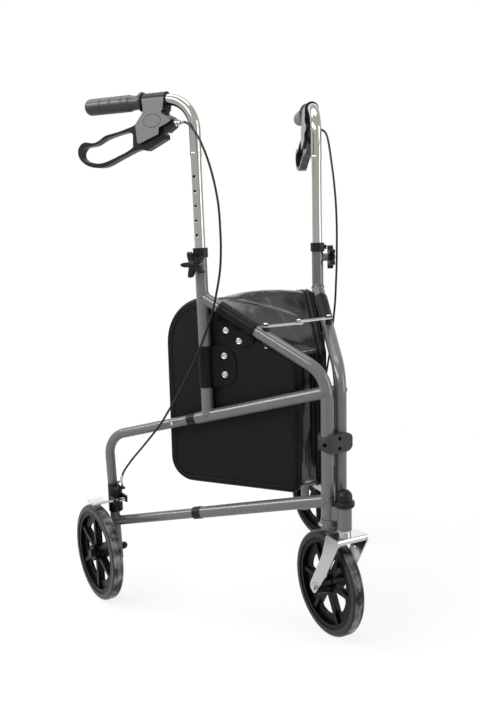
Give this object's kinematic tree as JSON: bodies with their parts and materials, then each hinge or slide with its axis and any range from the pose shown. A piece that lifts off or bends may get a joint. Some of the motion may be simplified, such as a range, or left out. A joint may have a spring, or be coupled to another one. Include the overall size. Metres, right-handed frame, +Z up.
{
  "type": "three wheel rollator",
  "caption": "Folding walking aid with a swivelling front wheel, two splayed side frames, height adjustable handles, loop brake levers and a hanging bag.",
  "frame": {"origin": "middle of the object's footprint on the ground", "axes": "+X to the left of the person who walks behind it, +Y rearward towards the user, +Z up"},
  "size_m": [0.596, 0.5692, 0.9715],
  "materials": {
    "painted_steel": "silver grey paint with a soft gloss",
    "chromed_steel": "bright chrome plating",
    "black_plastic": "black moulded plastic",
    "grip_rubber": "soft dark grey rubber with ribs",
    "tyre_rubber": "dark grey solid tyre",
    "bag_cloth": "black coated cloth with a slight sheen",
    "bearing_steel": "plain ground steel"
  },
  "bodies": {
    "right_frame": {"right_front_tube": "painted_steel", "right_upper_rail": "painted_steel", "right_lower_rail": "painted_steel", "right_post": "painted_steel", "right_rear_leg": "painted_steel", "right_leg_rail": "painted_steel", "right_sleeves": "black_plastic", "right_axle": "black_plastic", "right_brake_bracket": "black_plastic", "right_cable": "black_plastic", "right_bag_panel": "bag_cloth", "right_bag_straps": "bag_cloth", "right_brace_bolt": "black_plastic", "bag_body": "bag_cloth", "hinge_clamp_front": "black_plastic", "hinge_clamp_back": "black_plastic", "hinge_fasteners": "chromed_steel", "hinge_strap": "painted_steel", "caster_housing": "painted_steel", "caster_cap": "black_plastic", "stem_bearings": "bearing_steel"},
    "left_frame": {"left_front_tube": "painted_steel", "left_upper_rail": "painted_steel", "left_lower_rail": "painted_steel", "left_post": "painted_steel", "left_rear_leg": "painted_steel", "left_leg_rail": "painted_steel", "left_sleeves": "black_plastic", "left_axle": "black_plastic", "left_brake_bracket": "black_plastic", "left_cable": "black_plastic", "left_bag_panel": "bag_cloth", "left_bag_straps": "bag_cloth", "left_brace_bolt": "black_plastic"},
    "caster": {"caster_fork": "chromed_steel", "front_axle": "chromed_steel"},
    "front_wheel": {"front_rim": "black_plastic", "front_tyre": "tyre_rubber"},
    "right_wheel": {"right_rim": "black_plastic", "right_tyre": "tyre_rubber"},
    "right_handle": {"right_handle_tube": "chromed_steel", "right_grip": "grip_rubber", "right_brake_housing": "black_plastic", "right_lever_fittings": "chromed_steel"},
    "right_lever": {"right_brake_lever": "black_plastic"},
    "right_shoe": {"right_brake_shoe": "chromed_steel"},
    "right_clamp_knob": {"right_knob": "black_plastic"},
    "right_brace": {"right_brace_link": "chromed_steel"},
    "right_button": {"right_snap_button": "chromed_steel"},
    "left_wheel": {"left_rim": "black_plastic", "left_tyre": "tyre_rubber"},
    "left_handle": {"left_handle_tube": "chromed_steel", "left_grip": "grip_rubber", "left_brake_housing": "black_plastic", "left_lever_fittings": "chromed_steel"},
    "left_lever": {"left_brake_lever": "black_plastic"},
    "left_shoe": {"left_brake_shoe": "chromed_steel"},
    "left_clamp_knob": {"left_knob": "black_plastic"},
    "left_brace": {"left_brace_link": "chromed_steel"},
    "left_button": {"left_snap_button": "chromed_steel"}
  },
  "joints": [
    {"name": "frame_fold", "type": "hinge", "parent": "right_frame", "child": "left_frame", "pos_m": [0.0144, -0.20954, 0.362], "axis": [0, 0, 1], "range_deg": [0, 46], "deforming": ["bag_body"]},
    {"name": "caster_swivel", "type": "hinge", "parent": "right_frame", "child": "caster", "pos_m": [0, -0.23774, 0.23], "axis": [0, 0, 1], "continuous": true},
    {"name": "front_wheel_spin", "type": "hinge", "parent": "caster", "child": "front_wheel", "pos_m": [0.00399, -0.1892, 0.09525], "axis": [0.9966, -0.0819, 0], "continuous": true},
    {"name": "right_wheel_spin", "type": "hinge", "parent": "right_frame", "child": "right_wheel", "pos_m": [-0.27795, 0.18938, 0.09525], "axis": [1, 0, 0], "continuous": true},
    {"name": "right_handle_height", "type": "slide", "parent": "right_frame", "child": "right_handle", "axis": [-0.0085, 0.0152, 0.9998], "range_m": [-0.1524, 0.0508], "deforming": ["right_cable"]},
    {"name": "right_knob_turn", "type": "hinge", "parent": "right_frame", "child": "right_clamp_knob", "pos_m": [-0.13166, 0.00028, 0.666], "axis": [-0.8729, -0.4879, 0], "range_deg": [0, 720]},
    {"name": "right_lever_squeeze", "type": "hinge", "parent": "right_handle", "child": "right_lever", "pos_m": [-0.17247, 0.07329, 0.9185], "axis": [0.8729, 0.4879, 0], "range_deg": [0, 13], "stiffness_Nm_per_rad": 4},
    {"name": "right_brake_shoe_press", "type": "hinge", "parent": "right_frame", "child": "right_shoe", "pos_m": [-0.23735, 0.16838, 0.2015], "axis": [-1, 0, 0], "range_deg": [0, 13]},
    {"name": "right_brace_swing", "type": "hinge", "parent": "right_frame", "child": "right_brace", "pos_m": [-0.06968, -0.11064, 0.558], "axis": [0, 0, 1], "range_deg": [-53.41, 0]},
    {"name": "right_button_press", "type": "slide", "parent": "right_frame", "child": "right_button", "axis": [0.8729, 0.4879, 0], "range_m": [0, 0.003], "stiffness_N_per_m": 1500},
    {"name": "left_wheel_spin", "type": "hinge", "parent": "left_frame", "child": "left_wheel", "pos_m": [0.27795, 0.18938, 0.09525], "axis": [1, 0, 0], "continuous": true},
    {"name": "left_handle_height", "type": "slide", "parent": "left_frame", "child": "left_handle", "axis": [0.0085, 0.0152, 0.9998], "range_m": [-0.1524, 0.0508], "deforming": ["left_cable"]},
    {"name": "left_knob_turn", "type": "hinge", "parent": "left_frame", "child": "left_clamp_knob", "pos_m": [0.13166, 0.00028, 0.666], "axis": [0.8729, -0.4879, 0], "range_deg": [0, 720]},
    {"name": "left_lever_squeeze", "type": "hinge", "parent": "left_handle", "child": "left_lever", "pos_m": [0.17247, 0.07329, 0.9185], "axis": [0.8729, -0.4879, 0], "range_deg": [0, 13], "stiffness_Nm_per_rad": 4},
    {"name": "left_brake_shoe_press", "type": "hinge", "parent": "left_frame", "child": "left_shoe", "pos_m": [0.23735, 0.16838, 0.2015], "axis": [-1, 0, 0], "range_deg": [0, 13]},
    {"name": "left_brace_swing", "type": "hinge", "parent": "left_frame", "child": "left_brace", "pos_m": [0.06968, -0.11064, 0.561], "axis": [0, 0, 1], "range_deg": [0, 28.55]},
    {"name": "left_button_press", "type": "slide", "parent": "left_frame", "child": "left_button", "axis": [-0.8729, 0.4879, 0], "range_m": [0, 0.003], "stiffness_N_per_m": 1500}
  ],
  "couplings": [
    {"joint": "right_brake_shoe_press", "follows": "right_lever_squeeze", "ratio": 1},
    {"joint": "right_brace_swing", "follows": "frame_fold", "ratio": -1.161},
    {"joint": "left_brake_shoe_press", "follows": "left_lever_squeeze", "ratio": 1},
    {"joint": "left_brace_swing", "follows": "frame_fold", "ratio": 0.6207}
  ]
}
